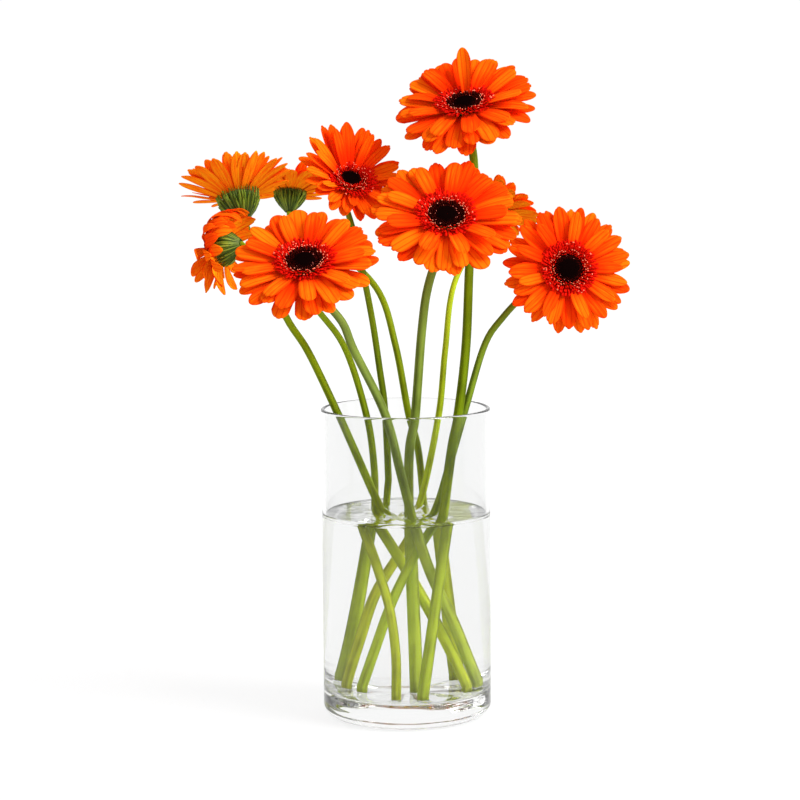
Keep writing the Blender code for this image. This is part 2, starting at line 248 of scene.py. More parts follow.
inside = VASE_RADIUS - WALL
lip = WALL / 2
inner_corner = arc((inside - INNER_ROUND, BASE + INNER_ROUND), INNER_ROUND, -90, 0, INNER_STEPS)
lip_round = arc((inside + lip, VASE_HEIGHT - lip), lip, 180, 0, LIP_STEPS)
foot_round = arc((VASE_RADIUS - FOOT_ROUND, FOOT_ROUND), FOOT_ROUND, 0, -90, FOOT_STEPS)
vase_profile = [(0, BASE), (inside - INNER_ROUND - HOLDING_LOOP, BASE), *inner_corner,
                (inside, BASE + INNER_ROUND + HOLDING_LOOP),
                (inside, VASE_HEIGHT - lip - HOLDING_LOOP), *lip_round,
                (VASE_RADIUS, VASE_HEIGHT - lip - HOLDING_LOOP),
                (VASE_RADIUS, FOOT_ROUND + HOLDING_LOOP), *foot_round,
                (VASE_RADIUS - FOOT_ROUND - HOLDING_LOOP, 0), (0, 0)]

glass = Finish("clear glass", Base_Color=GLASS_COLOUR, Roughness=0.0, IOR=GLASS_BENDS_LIGHT,
               Transmission_Weight=1.0, Specular_Tint=FAINT_SHINE)
thick_base = 1 - glass.step(glass.height(), BASE, BASE * 2)
glass.ripple(GLASS_WAVES, GLASS_WAVE_DETAIL, thick_base, GLASS_WAVE_DEPTH)
vase_shape = bmesh.new()
turned(vase_shape, vase_profile, VASE_SIDES)
add_piece("vase", vase_shape, [glass])


# Stems. Each gerbera has one leafless round stem, finely ribbed and softly downy, which grew
# with the cup of narrow green bracts under its bloom. It stands on the vase's floor.
GAP = 0.3 * MM
STEM_SIDES = 20
STEM_RINGS = 72
WAY_STEPS = 24
ROUNDING = 1e-9
FOOT_STUB = 4 * MM
NECK_DEPTH = 18 * MM
NECK_OVERRUN = 4 * MM
RIBS = 10
RIB_DEPTH = 0.035

# Values for each flower, the same as in the CAD source, in millimetres and degrees.
# bloom is the middle of its receptacle; facing is (turn to the right, tilt up); size scales
# all but the span, which is from the middle to the petal tips; lift, nod and droop bend the
# petals, nod more on the side it names; short is (direction, share) of a side with short
# petals; stray is (direction, lift, share) of one petal that stands up; petals is the count
# in each layer; stem is the stem's radius at the foot and neck; cup scales the green cup;
# foot and way are the stem's route. The rest is for this file alone: inner is the inner
# petals' (more lift, length share, share of the short florets' length); fan is (direction,
# more lift, share cut off, less droop in each layer) of a side that opens less; roll is
# (direction, more droop); slim is (width share, how pointed, length share); eye is (how far
# the inner florets lean in over it, how many of their rings are dark); green is the stem's.
FLOWERS = (
    dict(name="front_left", bloom=(-67, -75, 326.5), facing=(-5, 54), size=1.0, span=51, lift=10,
         nod=(90, 8), droop=14, short=(0, 0), petals=(17, 16, 9), stem=(3.5, 2.7), cup=1.0,
         foot=(37, 6), green=(0.2, 0.27, 0.045),
         way=((26, -6, 68), (13, -20, 110), (5, -26, 142), (-3, -28, 175), (-14, -38, 220),
              (-35, -50, 266), (-44, -57, 288))),
    dict(name="centre", bloom=(29, -35, 355), facing=(2, 46), size=1.0, span=53, lift=10,
         nod=(90, 2), droop=14, short=(0, 0), petals=(17, 17, 9), stem=(3.6, 2.85), cup=1.0,
         foot=(5, -3), green=(0.2, 0.27, 0.035),
         way=((2, -10, 173), (7, -16, 217), (12, -22, 278), (17, -25, 310))),
    dict(name="top", bloom=(44, 20, 431), facing=(-15, 60), size=1.0, span=52, lift=10,
         nod=(90, 12), droop=14, short=(0, 0), slim=(1.1, 0.0, 1.0), stray=(97, 56, 0.88),
         petals=(18, 17, 10), stem=(3.65, 2.85), cup=1.0, foot=(10, -38),
         green=(0.16, 0.23, 0.002),
         way=((30, -20, 178), (37, -15, 216), (43, -5, 264), (46, 8, 321), (50, 20, 385))),
    dict(name="right", bloom=(114, -10, 317.5), facing=(9, 17), size=1.0, span=48, lift=6,
         nod=(0, 0), droop=12, short=(0, 0), inner=(13, 0.84, 0.82), slim=(0.86, 0.2, 0.99),
         eye=(20, 1), petals=(17, 17, 9), stem=(3.0, 2.15), cup=0.95, foot=(-25, -5),
         green=(0.2, 0.29, 0.018),
         way=((-18, -9, 50), (-8, -13, 86), (6, -16, 121), (21, -14, 150), (30, -11, 178),
              (43, -8, 222), (56, -4, 264), (68, 0, 282), (86, 8, 299))),
    dict(name="upper_left", bloom=(-38, 15, 379), facing=(22, 48), size=0.85, span=50, lift=15,
         nod=(112, 22), droop=10, short=(255, 0.42), slim=(0.86, 0.2, 0.99), eye=(26, 0),
         petals=(16, 15, 7), stem=(2.8, 2.05), cup=0.95, foot=(-26, 36),
         green=(0.18, 0.26, 0.006),
         way=((-14, 34, 150), (-13, 32, 171), (-15, 27, 218), (-18, 24, 243), (-24, 22, 285),
              (-34, 25, 335))),
    dict(name="far_left", bloom=(-120, 50, 369), facing=(-150, 64), size=1.0, span=46, lift=25,
         nod=(0, 0), droop=10, short=(0, 0), inner=(13, 0.84, 0.3), fan=(25, 12, 0, 0, 0, 0),
         slim=(0.82, 0.3, 0.99), petals=(16, 15, 6), stem=(3.2, 2.35), cup=0.95, foot=(34, -8),
         green=(0.25, 0.35, 0.004),
         way=((3, 4, 98), (-26, 12, 163), (-47, 10, 212), (-69, 24, 257), (-85, 35, 281),
              (-103, 44, 320))),
    dict(name="back_left", bloom=(-85, 115, 369), facing=(175, 68), size=0.9, span=39, lift=19,
         nod=(0, 0), droop=10, short=(0, 0), slim=(0.82, 0.25, 1.0), petals=(15, 14, 6),
         stem=(2.85, 2.15), cup=0.8, foot=(20, 42), green=(0.26, 0.37, 0.006),
         way=((11, 38, 169), (2, 44, 211), (-7, 58, 259), (-20, 76, 298), (-52, 98, 328))),
    dict(name="low_left", bloom=(-131, 12, 333), facing=(-112, -10), size=0.95, span=44, lift=14,
         nod=(0, 0), droop=95, short=(0, 0), inner=(24, 0.85, 0.4),
         fan=(272, 24, 0.2, 50, 85, 110), roll=(40, 75), slim=(0.8, 0.25, 1.0),
         petals=(15, 14, 11), stem=(3.0, 2.0), cup=0.85, foot=(-7, -36),
         green=(0.26, 0.36, 0.008),
         way=((-7, -34, 50), (-10, -27, 80), (-16, -8, 108), (-22, 14, 138), (-23, 29, 172),
              (-28, 26, 211), (-42, 24, 258), (-59, 12, 285), (-85, -12, 316))),
    dict(name="back_right", bloom=(67, 62, 357), facing=(140, 45), size=0.9, span=34, lift=20,
         nod=(0, 0), droop=14, short=(0, 0), slim=(0.8, 0.25, 1.0), petals=(15, 14, 6),
         stem=(2.9, 1.85), cup=0.85, foot=(-32, 5), green=(0.5, 0.65, 0.02),
         way=((-24, 9, 54), (-15, 14, 88), (0, 21, 122), (12, 26, 154), (24, 30, 210),
              (29, 34, 257), (36, 40, 305))),
)

# The cup's outline down to the stem, as (radius, height) in millimetres. Past the neck it is
# the stem's own width. OUTLINE_LENGTH is in millimetres too, and SHARP_EDGE in radians.
CUP_PROFILE = ((14.0, -3.8), (14.2, -7.0), (10.6, -14.0), (3.2, -21.5))
CUP_NECK = 4.0
CUP_SIDES = 32
CUP_BEVEL = 1.5 * MM
SHARP_EDGE = 0.5
OUTLINE_LENGTH = 21

# The rows of bracts: how many bracts, how far below the rim their tips end, and how far the
# tips stand off the cup. The tips of the rising rows follow the petals up.
BRACT_ROWS = ((26, 0.0, 2.4), (26, 0.8, 2.0), (22, 4.0, 1.9), (16, 8.0, 1.8))
RISING_ROWS = 2
BRACT_WIDTH = 2.7 * MM
BRACT_THICK = 0.45 * MM
BRACT_KEEL = 0.6 * MM
BRACT_LENGTH_STEPS = 7
BRACT_WIDTH_STEPS = 2
BRACT_ROOT = 0.25
BRACT_RUN = 0.85
BRACT_BELLY = 0.9
BRACT_FULLNESS = 0.7
BRACT_TIP = 0.08
BRACT_ROUND_AT_LEAST = 3 * MM
BRACT_RISE = 2.2
BRACT_REACH = 6.5
DROOP_SHARE = 0.15
LOW_ROW_RISE = 0.8 * MM
BRACT_TURNS = (-0.07, 0.07)
BRACT_ENDS = (-0.8, 1.4)
BRACT_WIDTHS = (0.85, 1.1)
BRACT_RISES = (0.75, 1.05)

# Each part of a stem's green makes its paler foot: times, plus and at most. The paler foot is
# partly the stem's own colour and partly painted light, for the brighter look of a stem under
# water. The stem pales between two lengths from the foot, and its streaks are a darker share
# of both greens: partly real striation and partly painted shade, broad dark bands that stand
# in for a shaded side.
PALER = ((1.5, 0.46, 0.9), (1.3, 0.56, 0.96), (0.8, 0.05, 1.0))
GREEN_ABOVE = 0.18
PALE_BELOW = 0.07
DARK_GREEN_SHARE = 0.45
DARK_FOOT_SHARE = 0.48
STREAKS_ROUND = 0.35
STREAKS_ALONG = 4.0
STREAK_SCALE = 2.4
STREAK_DETAIL = 4.0
STREAK_RELIEF = 0.25
STREAK_DEPTH = 0.3 * MM
MOTTLE_SCALE = 60.0
MOTTLE_DETAIL = 2.0
MOTTLE_SHARE = 0.25
DARK_TO_LIGHT = (0.36, 0.60)

# A bract's colours, then where each sets in, as (from, to), and how strong it is: the keel and
# the edge by the square of the place across, the keel by tint too, and the light by tint and
# place along
BRACT_DARK = (0.03, 0.06, 0.003, 1)
BRACT_LIGHT = (0.20, 0.29, 0.015, 1)
BRACT_KEEL_GREEN = (0.38, 0.48, 0.09, 1)
BRACT_EDGE_GREEN = (0.26, 0.34, 0.04, 1)
BRACT_KEEL_ENDS = (0.0, 0.12)
BRACT_KEEL_TINTS = (0.35, 0.8)
BRACT_KEEL_SHARE = 0.35
BRACT_EDGE_FROM = (0.7, 1.0)
BRACT_EDGE_SHARE = 0.3
BRACT_LIGHT_FROM = (0.35, 1.0)
LIGHT_BY_TINT = 0.7
LIGHT_BY_PLACE = 0.5


def smooth_way(points, count):
    """Evenly spaced points on a smooth curve through the given ones."""
    ends = [2 * points[0] - points[1]] + points + [2 * points[-1] - points[-2]]
    fine = []
    for a, b, c, d in zip(ends, ends[1:], ends[2:], ends[3:]):
        for i in range(WAY_STEPS):
            t = i / WAY_STEPS
            fine.append(0.5 * (2 * b + (c - a) * t + (2 * a - 5 * b + 4 * c - d) * t ** 2
                               + (3 * b - a - 3 * c + d) * t ** 3))
    fine.append(points[-1])
    travelled = [0.0]
    for a, b in zip(fine, fine[1:]):
        travelled.append(travelled[-1] + (b - a).length)
    even = []
    for i in range(count):
        goal = travelled[-1] * i / (count - 1)
        after = next(j for j, far in enumerate(travelled) if far >= goal - ROUNDING)
        before = max(after - 1, 0)
        gap = travelled[after] - travelled[before]
        share = (goal - travelled[before]) / gap if gap else 0.0
        even.append(fine[before].lerp(fine[after], share))
    return even


def bloom_frame(flower):
    """World place of a bloom: its middle, with local +Z the way the flower faces."""
    turn, rise = (math.radians(angle) for angle in flower["facing"])
    level = math.cos(rise)
    face = Vector((level * math.sin(turn), -level * math.cos(turn), math.sin(rise)))
    right = Vector((0, 0, 1)).cross(face).normalized()
    up = face.cross(right)
    place = Matrix((right, up, face)).transposed().to_4x4()
    place.translation = Vector(flower["bloom"]) * MM
    return place @ Matrix.Scale(flower["size"], 4)


def stem_route(flower):
    """Points up the middle of a stem with its radius there, from the foot into the cup."""
    place = bloom_frame(flower)
    face = place.to_3x3().col[2].normalized()
    neck = place.translation - face * NECK_DEPTH
    foot = Vector((flower["foot"][0] * MM, flower["foot"][1] * MM, BASE + GAP))
    stub = foot + Vector((0, 0, FOOT_STUB))
    way = [Vector(point) * MM for point in flower["way"]]
    line = [foot] + smooth_way([stub] + way + [neck], STEM_RINGS)
    last = len(line) - 1
    thick, thin = (radius * MM for radius in flower["stem"])
    radii = [thick + (thin - thick) * i / last for i in range(last + 1)]
    line.append(neck + face * NECK_OVERRUN)
    radii.append(thin)
    return list(zip(line, radii))


def places_along(route):
    """A matrix for each point of a route: +Z along it, scaled to the radius, never twisting."""
    points = [point for point, radius in route]
    side = Vector((1, 0, 0))
    made = []
    for i, (point, radius) in enumerate(route):
        ahead = (points[min(i + 1, len(points) - 1)] - points[max(i - 1, 0)]).normalized()
        if i == 0:
            ahead = Vector((0, 0, 1))
        side = (side - ahead * side.dot(ahead)).normalized()
        turn = Matrix((side, ahead.cross(side), ahead)).transposed().to_4x4()
        made.append(Matrix.Translation(point) @ turn @ Matrix.Diagonal((radius, radius, 1, 1)))
    return made


def swept(route, spare=0.0):
    """A rod along a route, its section a circle with shallow ribs. 'along' keeps the metres
    from the foot and 'around' the turn, for the finish."""
    shape = bmesh.new()
    along = shape.verts.layers.float.new("along")
    around = shape.verts.layers.float.new("around")
    places = places_along([(point, radius + spare) for point, radius in route])
    ring = bmesh.ops.create_circle(shape, cap_ends=True, segments=STEM_SIDES, radius=1)["verts"]
    for vert in ring:
        turn = math.atan2(vert.co.y, vert.co.x)
        vert[around] = turn
        vert.co *= 1 + RIB_DEPTH * math.cos(RIBS * turn)
    edges = shape.edges[:]
    bmesh.ops.transform(shape, matrix=places[0], verts=ring)
    travelled = 0.0
    for before, after in zip(places, places[1:]):
        travelled += (after.translation - before.translation).length
        made = bmesh.ops.extrude_edge_only(shape, edges=edges)["geom"]
        edges = [part for part in made if isinstance(part, bmesh.types.BMEdge)]
        ring = [part for part in made if isinstance(part, bmesh.types.BMVert)]
        edges = [edge for edge in edges if all(vert in ring for vert in edge.verts)]
        bmesh.ops.transform(shape, matrix=after @ before.inverted(), verts=ring)
        for vert in ring:
            vert[along] = travelled
    bmesh.ops.contextual_create(shape, geom=edges)
    bmesh.ops.recalc_face_normals(shape, faces=shape.faces)
    return shape


def slab(length_steps, width_steps):
    """A flat leaf, 0 to 1 along X, -1 to 1 across Y and 0 to -1 in Z, to be cut and bent.
    'along', 'across' and 'under' keep the place on it for the finish."""
    shape = bmesh.new()
    along = shape.verts.layers.float.new("along")
    across = shape.verts.layers.float.new("across")
    under = shape.verts.layers.float.new("under")
    shape.verts.layers.float.new("tint")
    bmesh.ops.create_grid(shape, x_segments=length_steps, y_segments=width_steps, size=1)
    top = shape.faces[:]
    below = bmesh.ops.duplicate(shape, geom=shape.verts[:] + shape.edges[:] + top)["geom"]
    below_faces = [part for part in below if isinstance(part, bmesh.types.BMFace)]
    below_verts = [part for part in below if isinstance(part, bmesh.types.BMVert)]
    bmesh.ops.reverse_faces(shape, faces=below_faces)
    bmesh.ops.translate(shape, verts=below_verts, vec=(0, 0, -1))
    bmesh.ops.bridge_loops(shape, edges=[edge for edge in shape.edges if edge.is_boundary])
    for vert in shape.verts:
        vert.co.x = (vert.co.x + 1) / 2
        vert[along] = vert.co.x
        vert[across] = vert.co.y
        vert[under] = -vert.co.z
    bmesh.ops.recalc_face_normals(shape, faces=shape.faces)
    mesh = bpy.data.meshes.new("leaf blank")
    shape.to_mesh(mesh)
    shape.free()
    return mesh


def join(shape, part):
    """Add a part to a shape, by way of a mesh that carries it over."""
    part.to_mesh(carrier)
    part.free()
    shape.from_mesh(carrier)


def between(points, share):
    """The value at a share of the way along evenly spaced values."""
    spot = min(max(share, 0.0), 1.0) * (len(points) - 1)
    low = min(int(spot), len(points) - 2)
    return points[low] + (points[low + 1] - points[low]) * (spot - low)


def bract(bowl, turn, reach, lifted, width, rise, tint_value):
    """One narrow pointed bract that lies up the outside of the cup to its free tip, widest
    about a third of the way up, with a keel down its middle."""
    shape = bmesh.new()
    shape.from_mesh(BRACT_BLANK)
    tint = shape.verts.layers.float["tint"]
    for vert in shape.verts:
        s, t, down = vert.co.x, vert.co.y, -vert.co.z
        spot = 1 - s * (1 - reach)
        radius = between([radius for radius, height in bowl], spot)
        height = between([height for radius, height in bowl], spot)
        taper = math.sin(math.pi * min(1.0, BRACT_ROOT + BRACT_RUN * s) ** BRACT_BELLY)
        taper = taper ** BRACT_FULLNESS
        keel = (1 - t * t) * BRACT_KEEL
        out = radius + lifted * s * s * MM + keel - down * BRACT_THICK
        swing = turn + t * width * max(taper, BRACT_TIP) / max(radius, BRACT_ROUND_AT_LEAST) / 2
        vert.co = (out * math.cos(swing), out * math.sin(swing), height + rise * s * s)
        vert[tint] = tint_value
    return shape


def make_cup(flower, pick):
    """The cup: a turned bowl inside its rows of overlapping bracts."""
    cup = bmesh.new()
    scale = flower["cup"]
    rim = CUP_PROFILE[0][1]
    bowl = [(radius * MM * (scale if radius > CUP_NECK else 1), (rim + (height - rim) * scale) * MM)
            for radius, height in CUP_PROFILE]
    turned(cup, [(0, bowl[0][1])] + bowl + [(0, bowl[-1][1])], CUP_SIDES)
    sharp = [edge for edge in cup.edges if edge.calc_face_angle(0) > SHARP_EDGE]
    bmesh.ops.bevel(cup, geom=sharp, offset=CUP_BEVEL, segments=2, profile=0.5, affect="EDGES",
                    material=-1, clamp_overlap=True)
    slope = math.radians(flower["lift"] - DROOP_SHARE * flower["droop"])
    rise = (BRACT_RISE + BRACT_REACH * math.tan(slope)) * MM
    for row, (count, drop, off) in enumerate(BRACT_ROWS):
        for i in range(count):
            turn = 2 * math.pi * (i + 0.5 * (row % 2)) / count + pick.uniform(*BRACT_TURNS)
            reach = (drop + pick.uniform(*BRACT_ENDS)) / OUTLINE_LENGTH
            width = BRACT_WIDTH * scale * pick.uniform(*BRACT_WIDTHS)
            tip_rise = rise * pick.uniform(*BRACT_RISES) if row < RISING_ROWS else LOW_ROW_RISE
            join(cup, bract(bowl, turn, max(reach, 0.0), off, width, tip_rise, pick.random()))
    return cup


def stem_finish(flower):
    """Fresh green that pales towards the foot, partly painted light there, with fine lengthwise
    streaks whose darker bands are partly painted shade, and soft down.
    """
    green = flower["green"]
    pale = [min(part * times + more, most) for part, (times, more, most) in zip(green, PALER)]
    finish = Finish("stem of " + flower["name"], Roughness=0.5, Specular_IOR_Level=0.05)
    along = finish.read("along")
    around = finish.read("around")
    spot = finish.node("CombineXYZ", {},
                       {0: around * STREAKS_ROUND, 1: along * STREAKS_ALONG, 2: 0.0})
    streak = finish.noise(spot, STREAK_SCALE, STREAK_DETAIL)
    coords = finish.node("TexCoord", {}, {}, "Object")
    mottle = finish.noise(coords, MOTTLE_SCALE, MOTTLE_DETAIL)
    # Paler towards the foot: partly the stem's own colour, partly painted light under the water
    foot = 1 - finish.step(along, PALE_BELOW, GREEN_ABOVE)
    lit = finish.between(foot, (*green, 1), (*pale, 1))
    dark = finish.between(foot, (*(part * DARK_GREEN_SHARE for part in green), 1),
                          (*(part * DARK_FOOT_SHARE for part in pale), 1))
    # Darker streaks: partly real striation, partly painted shade for a stem's shaded side
    streak_and_shade = streak * (1 - MOTTLE_SHARE) + mottle * MOTTLE_SHARE
    streak_and_shade = finish.step(streak_and_shade, *DARK_TO_LIGHT)
    finish.vary("Base Color", finish.between(streak_and_shade, dark, lit))
    finish.bump(streak, STREAK_RELIEF, STREAK_DEPTH)
    return finish


def cup_finish():
    """Green bracts, some dark and some light, with a paler keel and edge."""
    finish = Finish("green bracts", Roughness=0.5, Specular_IOR_Level=0.15)
    across = finish.read("across")
    along = finish.read("along")
    tint = finish.read("tint")
    keel = 1 - finish.step(across * across, *BRACT_KEEL_ENDS)
    keel = keel * finish.step(tint, *BRACT_KEEL_TINTS)
    edge = finish.step(across * across, *BRACT_EDGE_FROM)
    light = finish.step(tint * LIGHT_BY_TINT + along * LIGHT_BY_PLACE, *BRACT_LIGHT_FROM)
    base = finish.between(light, BRACT_DARK, BRACT_LIGHT)
    base = finish.between(keel * BRACT_KEEL_SHARE, base, BRACT_KEEL_GREEN)
    finish.vary("Base Color", finish.between(edge * BRACT_EDGE_SHARE, base, BRACT_EDGE_GREEN))
    return finish


carrier = bpy.data.meshes.new("carrier")
BRACT_BLANK = slab(BRACT_LENGTH_STEPS, BRACT_WIDTH_STEPS)
bracts = cup_finish()
routes = {flower["name"]: stem_route(flower) for flower in FLOWERS}
for flower in FLOWERS:
    stem = swept(routes[flower["name"]])
    cup = make_cup(flower, random.Random("cup " + flower["name"]))
    bmesh.ops.transform(cup, matrix=bloom_frame(flower), verts=cup.verts)
    for face in cup.faces:
        face.material_index = 1
    join(stem, cup)
    add_piece("stem_" + flower["name"], stem, [stem_finish(flower), bracts])


# Water. Plain tap water, about two thirds of the vase. It wets the glass and the stems, so
# its surface climbs a little at the wall and round each stem. The stems' holes are cut in it.
WATER_LEVEL = 145 * MM
INTO_GLASS = 0.2 * MM
INTO_STEM = 0.15 * MM
CLIMB_WALL = 1.0 * MM
CLIMB_STEM = 1.3 * MM
CLIMB_REACH = 1.5 * MM
WATER_SIDES = 224
WATER_RINGS = 52
RING_CROWDING = 1.6
HOLE_ABOVE = 30 * MM
HOLE_BELOW = 3 * MM
WATER_BENDS_LIGHT = 1.333
WATER_WAVES = (30, 70, 0)
WATER_WAVE_DETAIL = 2.0
WATER_WAVE_DEPTH = 1.6 * MM
STILL_BELOW = 2 * MM
WAVES_ABOVE = 0.5 * MM


def crossing(route, level):
    """Where a stem passes a level: its middle, radius and direction there."""
    for (low, low_radius), (high, high_radius) in zip(route, route[1:]):
        if low.z <= level < high.z:
            share = (level - low.z) / (high.z - low.z)
            radius = low_radius + (high_radius - low_radius) * share
            return low.lerp(high, share), radius, (high - low).normalized()


def climb(place, stems):
    """How far the surface stands above its level at a place, in metres."""
    to_wall = inside - math.hypot(place.x, place.y)
    height = CLIMB_WALL * math.exp(-max(to_wall, 0) / CLIMB_REACH)
    for middle, radius, ahead in stems:
        off = Vector((place.x - middle.x, place.y - middle.y, 0))
        beside = (off - ahead * off.dot(ahead)).length - radius
        height += CLIMB_STEM * math.exp(-max(beside, 0) / CLIMB_REACH)
    return height


def hole_shape(flower):
    """The stem's rod from inside the glass base to above the water, a little slimmer."""
    route = [spot for spot in routes[flower["name"]] if spot[0].z < WATER_LEVEL + HOLE_ABOVE]
    foot, radius = route[0]
    return swept([(Vector((foot.x, foot.y, BASE - HOLE_BELOW)), radius)] + route, -INTO_STEM)


water_radius = inside + INTO_GLASS
water_floor = BASE - INTO_GLASS
water_corner = arc((water_radius - INNER_ROUND, water_floor + INNER_ROUND), INNER_ROUND,
                   -90, 0, INNER_STEPS)
from_wall = [1 - i / (WATER_RINGS - 1) for i in reversed(range(WATER_RINGS))]
surface = [(water_radius * (1 - share ** RING_CROWDING), WATER_LEVEL) for share in from_wall]
water_profile = [(0, water_floor), (water_radius - INNER_ROUND - HOLDING_LOOP, water_floor),
                 *water_corner, (water_radius, water_floor + INNER_ROUND + HOLDING_LOOP),
                 (water_radius, WATER_LEVEL - HOLDING_LOOP), *surface]
water_shape = bmesh.new()
turned(water_shape, water_profile, WATER_SIDES)
wet_stems = [crossing(routes[flower["name"]], WATER_LEVEL) for flower in FLOWERS]
for vert in water_shape.verts:
    if vert.co.z > WATER_LEVEL - HOLDING_LOOP / 2:
        vert.co.z += climb(vert.co, wet_stems)
clear_water = Finish("clear water", Base_Color=(1, 1, 1, 1), Roughness=0.0,
                     IOR=WATER_BENDS_LIGHT, Transmission_Weight=1.0)
at_surface = clear_water.step(clear_water.height(), WATER_LEVEL - STILL_BELOW,
                              WATER_LEVEL - WAVES_ABOVE)
clear_water.ripple(WATER_WAVES, WATER_WAVE_DETAIL, at_surface, WATER_WAVE_DEPTH)
water = add_piece("water", water_shape, [clear_water])
holes = bpy.data.collections.new("stem holes")
scene.collection.children.link(holes)
for flower in FLOWERS:
    rod = hole_shape(flower)
    hole_mesh = bpy.data.meshes.new("hole")
    rod.to_mesh(hole_mesh)
    rod.free()
    hole_mesh.materials.append(clear_water.material)
    holes.objects.link(bpy.data.objects.new("hole " + flower["name"], hole_mesh))
cut = water.modifiers.new("stem holes", "BOOLEAN")
cut.operation = "DIFFERENCE"
cut.operand_type = "COLLECTION"
cut.collection = holes
cut.solver = "EXACT"
bpy.context.view_layer.update()
graph = bpy.context.evaluated_depsgraph_get()
holed = bpy.data.meshes.new_from_object(water.evaluated_get(graph))
water.modifiers.clear()
water.data = holed
for hole in list(holes.objects):
    bpy.data.objects.remove(hole)
bpy.data.collections.remove(holes)


# Blooms. Each one grows on a flat receptacle: long orange ray florets in three layers, then
# rings of short red florets, some with pale tips, that stand steeper towards the eye. The
# innermost rings are dark.
DRUM_RADIUS = 11.5 * MM
DRUM_LOW = -3.2 * MM
DRUM_HIGH = 3.0 * MM
DRUM_SIDES = 32
DRUM_TINT = 0.6
ROOT_RADIUS = 8.5 * MM
PETAL_WIDTH = 13.5 * MM
PETAL_THICK = 0.4 * MM
PETAL_LENGTH_STEPS = 9
PETAL_WIDTH_STEPS = 12
PETAL_OUTLINE = (0.34, 0.50, 0.66, 0.80, 0.91, 0.98, 1.0, 0.985, 0.93)
LINE_STEPS = 24
CURL_FROM = 0.66
CURL_RUN = 0.34
TIP_CROWDING = 1.35
TIP_ROUND = (0.17, 0.30)
TIP_FULLNESS = 0.92
NOTCH = 0.012
NOTCH_NARROWS = 6
CREASE_AT = 1 / 3
CREASE_DEPTH = 0.45 * MM
CREASE_NARROWS = 3.2
CREASE_RUN = 1.1
CUPPED_ROOT = 0.2
CUPPING_RUN = 1.25

# Each layer of petals, from the back: height of its roots in millimetres, more lift in
# degrees, length share and width share
LAYERS = ((-1.9, 0.0, 1.0, 1.0), (-0.5, 6.0, 0.96, 1.0), (1.0, 13.0, 0.84, 0.86))
INNER_LAYER = 2

# How far one petal may differ from the next: degrees, then shares of the full size, then the
# sideways sweep of its tip in millimetres, the curl of its tip in degrees and its cupping
TURN_SPREAD = 3.5
LIFT_SPREAD = 2.5
DROOP_SPREAD = 7.0
TWIST_SPREAD = 9.0
LENGTH_SHARES = (0.93, 1.0)
WIDTH_SHARES = (0.86, 1.06)
SWEEP_SPREAD = 2.5
CURLS = (-6, 14)
CUPPINGS = (-0.18, 0.22)
NOTCH_DEPTHS = (0, 0, 1, 2)

# The one petal that stands up in a bloom: its width share, curl, cupping, twist and sweep
STRAY_WIDTH = 0.75
STRAY_FORM = dict(droop=0, curl=-8, cupping=0.5, twist=6, sweep=1, notch=0, tint_value=0.95)

# Rings of short florets from the eye out: root radius and length in millimetres, lift in
# degrees, count, width in millimetres, and the share of florets with a pale tip
FLORET_RINGS = (
    (9.6, 3.6, 84, 40, 0.8, 0.0), (10.2, 4.0, 76, 42, 0.8, 0.08), (10.8, 4.8, 66, 44, 0.9, 0.5),
    (11.3, 5.8, 57, 44, 1.0, 0.45), (11.8, 7.2, 48, 46, 1.1, 0.25), (12.2, 8.6, 40, 46, 1.2, 0.12),
    (12.4, 10.0, 32, 46, 1.3, 0.06), (12.5, 11.2, 26, 44, 1.4, 0.05),
    (12.6, 12.2, 21, 40, 1.5, 0.03),
)
DARK_RINGS = 3
LEANING_RINGS = 5
RING_TURN = 7
FLORET_SUNK = 0.4 * MM
FLORET_PLACES = (-0.3, 0.3)
FLORET_LENGTHS = (0.85, 1.08)
FLORET_LIFTS = (-7, 7)
FLORET_DROOP = 4
FLORET_CURLS = (-10, 30)
FLORET_CUPPING = 0.3
FLORET_TWISTS = (-30, 30)
FLORET_SWEEPS = (-0.4, 0.4)
FLORET_TIP = 0.2
FLORET_LENGTH_STEPS = 4
FLORET_WIDTH_STEPS = 1

# Petal colours: the face, with painted shade in deep red along its creases and rims and a redder
# root, partly its own colour and partly painted shade, and the yellower back, with painted shade at
# its creases and edge
ORANGE_DEEP = (0.95, 0.045, 0.0015, 1)
ORANGE_LIGHT = (1.0, 0.15, 0.003, 1)
# Painted shade: the deep red laid along each petal's creases and round its rim
CREASE_AND_RIM_SHADE = (0.75, 0.012, 0.001, 1)
# Partly the petal's own redder root and partly painted shade near the eye
ROOT_RED_AND_SHADE = (0.85, 0.014, 0.001, 1)
BACK_DEEP = (0.97, 0.11, 0.003, 1)
BACK_LIGHT = (1.0, 0.34, 0.006, 1)
# Painted shade on the petal's back: red-brown in its creases and at its edge
BACK_CREASE_SHADE = (0.80, 0.04, 0.002, 1)
BACK_EDGE_SHADE = (0.85, 0.045, 0.003, 1)
ORANGE_DOWN = (1.0, 0.25, 0.01, 1)

# Where each of these sets in, as (from, to), and how strong it is. Veins and blotches are
# noise, and each petal's own tint shifts them.
VEINS_ACROSS = 3.4
VEINS_ALONG = 1.2
VEINS_BY_TINT = 40.0
VEIN_SCALE = 2.2
VEIN_DETAIL = 4.0
VEIN_RELIEF = 0.5
VEIN_DEPTH = 0.5 * MM
BLOTCH_SCALE = 45.0
BLOTCH_DETAIL = 2.0
FACE_LIGHT_FROM = (0.3, 0.8)
FACE_BY_VEIN = 0.7
FACE_BY_TINT = 0.4
CREASE_FROM = (0.23, 0.33)
CREASE_ENDS = (0.33, 0.43)
CREASE_SHARE = 0.7
RIM_FROM = (0.35, 1.0)
RIM_SHARE = 0.8
ROOT_ENDS = (0.40, 0.95)
ROOT_BY_BLOTCH = 0.35
ROOT_BY_TINT = 0.2
ROOT_SHARE = 0.9
BACK_LIGHT_FROM = (0.32, 0.68)
BACK_CREASE_SHARE = 0.35
BACK_EDGE_FROM = (0.5, 1.5)
BACK_EDGE_BY_PLACE = 0.5
BACK_EDGE_SHARE = 0.85
BACK_FROM = (0.3, 0.7)
